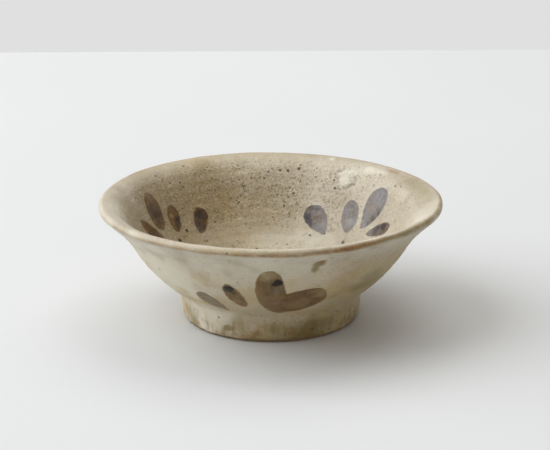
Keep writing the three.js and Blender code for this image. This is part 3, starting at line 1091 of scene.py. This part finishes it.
def make_stroke(petal, fan):
    """A film of pigment that lies on the glaze. It reaches past the petal's own edge, where it has
    no pigment left and only the glaze's colour, and ends just under the glaze's face."""
    before = petal.stroke.before
    length, half = petal.length + before + 2 * SOFT_EDGE, petal.width / 2 + SOFT_EDGE
    long = max(10, round(length / STROKE_STEP))
    wide = max(8, round(2 * half / STROKE_STEP))
    share = (1 - np.cos(math.pi * np.linspace(0.02, 0.98, long))) / 2
    share, across = np.repeat(share, wide), np.tile(np.linspace(-1, 1, wide), long)
    width = half * leaf(share, petal.stroke)
    film_edge = np.minimum((1 - abs(across)) * width, 2 * length * np.minimum(share, 1 - share))
    distance, turn = petal.rolled(share * length - before - SOFT_EDGE, across * width)
    pigment = pigment_values(fan, distance, turn)
    lift = -0.07 + 0.10 * ramp(film_edge, 0, 0.5) + 0.09 * pigment["laid"]
    front = glazed_place(distance, turn, lift)
    back = glazed_place(distance, turn, np.full(len(turn), -0.3))

    grid = np.arange(long * wide).reshape(long, wide)
    size = grid.size
    corners = grid[:-1, :-1], grid[1:, :-1], grid[1:, 1:], grid[:-1, 1:]
    faces = [tuple(map(int, quad)) for quad in zip(*(corner.ravel() for corner in corners))]
    faces += [tuple(corner + size for corner in face[::-1]) for face in faces]
    border = [*grid[0, :-1], *grid[:-1, -1], *grid[-1, :0:-1], *grid[:0:-1, 0]]
    for a, b in zip(border, border[1:] + border[:1]):
        faces.append((int(a), int(b), int(b) + size, int(a) + size))
    mesh = solid_mesh(petal.node.replace("petal", "stroke"), np.concatenate([front, back]), faces)
    values = {**glaze_values(distance, turn), **pigment}
    add_values(mesh, {name: np.tile(numbers, 2) for name, numbers in values.items()})
    add_piece(mesh, iron_pigment, petal.node)


petals = [Petal(node) for node in sorted(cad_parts) if node.startswith("petal_")]
for petal in petals:
    make_stroke(petal, [other for other in petals if other.fan == petal.fan])


# Floor, light and camera

# The board ends this many metres behind the bowl, and the pale room shows beyond it
FLOOR_BACK = 0.547


def make_floor():
    """Board, sprayed with matt white paint: nearly white, with a faint unevenness."""
    material, tree, place = new_material("painted_board")
    uneven = patches(tree, place, 300, 0.3, 0.7, detail=2)
    colour = laid_over(tree, linear("#d6d8da"), (uneven, 1.0, "#d8dadc"))
    mesh = bpy.data.meshes.new("floor")
    corners = [(-3, -3, 0), (3, -3, 0), (3, FLOOR_BACK, 0), (-3, FLOOR_BACK, 0)]
    mesh.from_pydata(corners, [], [(0, 1, 2, 3)])
    mesh.materials.append(finish(material, colour, 0.7, uneven, 0.01, 1.5))
    floor = add_object("floor", mesh)


def add_lamp(name, place, width, height, power, colour):
    """A soft rectangular light that faces the bowl."""
    lamp = bpy.data.lights.new(name, "AREA")
    lamp.shape, lamp.color = "RECTANGLE", linear(colour)[:3]
    lamp.size, lamp.size_y, lamp.energy = width, height, power
    light = add_object(name, lamp)
    light.location = place
    light.rotation_euler = (-light.location).to_track_quat("-Z", "Y").to_euler()


def make_light():
    """A tall window on the left, a pale ceiling behind the bowl, and a dimmer room round it."""
    add_lamp("window_light", (-2.1, 0.12, 1.65), 2.7, 3.2, 87, "#f9fcff")
    add_lamp("ceiling_light", (0.4, 1.1, 2.4), 2.2, 2.2, 28, "#fffdf8")
    world = bpy.data.worlds.new("room")
    bpy.context.scene.world = world
    world.use_nodes = True
    tree = world.node_tree
    tree.nodes.clear()
    room = add_node(tree, "Background", {"Color": linear("#fff9f0"), "Strength": 0.34})
    seen = add_node(tree, "Background", {"Color": linear("#e0e0e0"), "Strength": 1.0})
    path = add_node(tree, "LightPath", {}).node.outputs
    straight = path["Is Camera Ray"]
    for kind in ("Is Glossy Ray", "Is Transmission Ray"):
        straight = add_node(tree, "Math", {0: straight, 1: path[kind]}, operation="MAXIMUM")
    mix = add_node(tree, "MixShader", {0: straight, 1: room, 2: seen})
    add_node(tree, "OutputWorld", {"Surface": mix})


def make_camera():
    """The photograph's viewpoint: its place, the way it looks, and its lens."""
    place = 0.00063, -0.7619, 0.2840
    pitch, yaw, roll = 0.3093, 0.0016, -0.005
    level = Vector((math.sin(yaw), math.cos(yaw), 0))
    forward = level * math.cos(pitch) - Vector((0, 0, math.sin(pitch)))
    right = Vector((math.cos(yaw), -math.sin(yaw), 0))
    up = right.cross(forward)
    rolled_right = right * math.cos(roll) + up * math.sin(roll)
    rolled_up = up * math.cos(roll) - right * math.sin(roll)
    lens = bpy.data.cameras.new("camera")
    lens.sensor_width = 36
    lens.lens = 118.69
    camera = add_object("camera", lens)
    axes = Matrix((rolled_right, rolled_up, -forward)).transposed()
    camera.matrix_world = Matrix.Translation(place) @ axes.to_4x4()
    bpy.context.scene.camera = camera


make_floor()
make_light()
make_camera()
bpy.context.scene.view_settings.view_transform = "Standard"
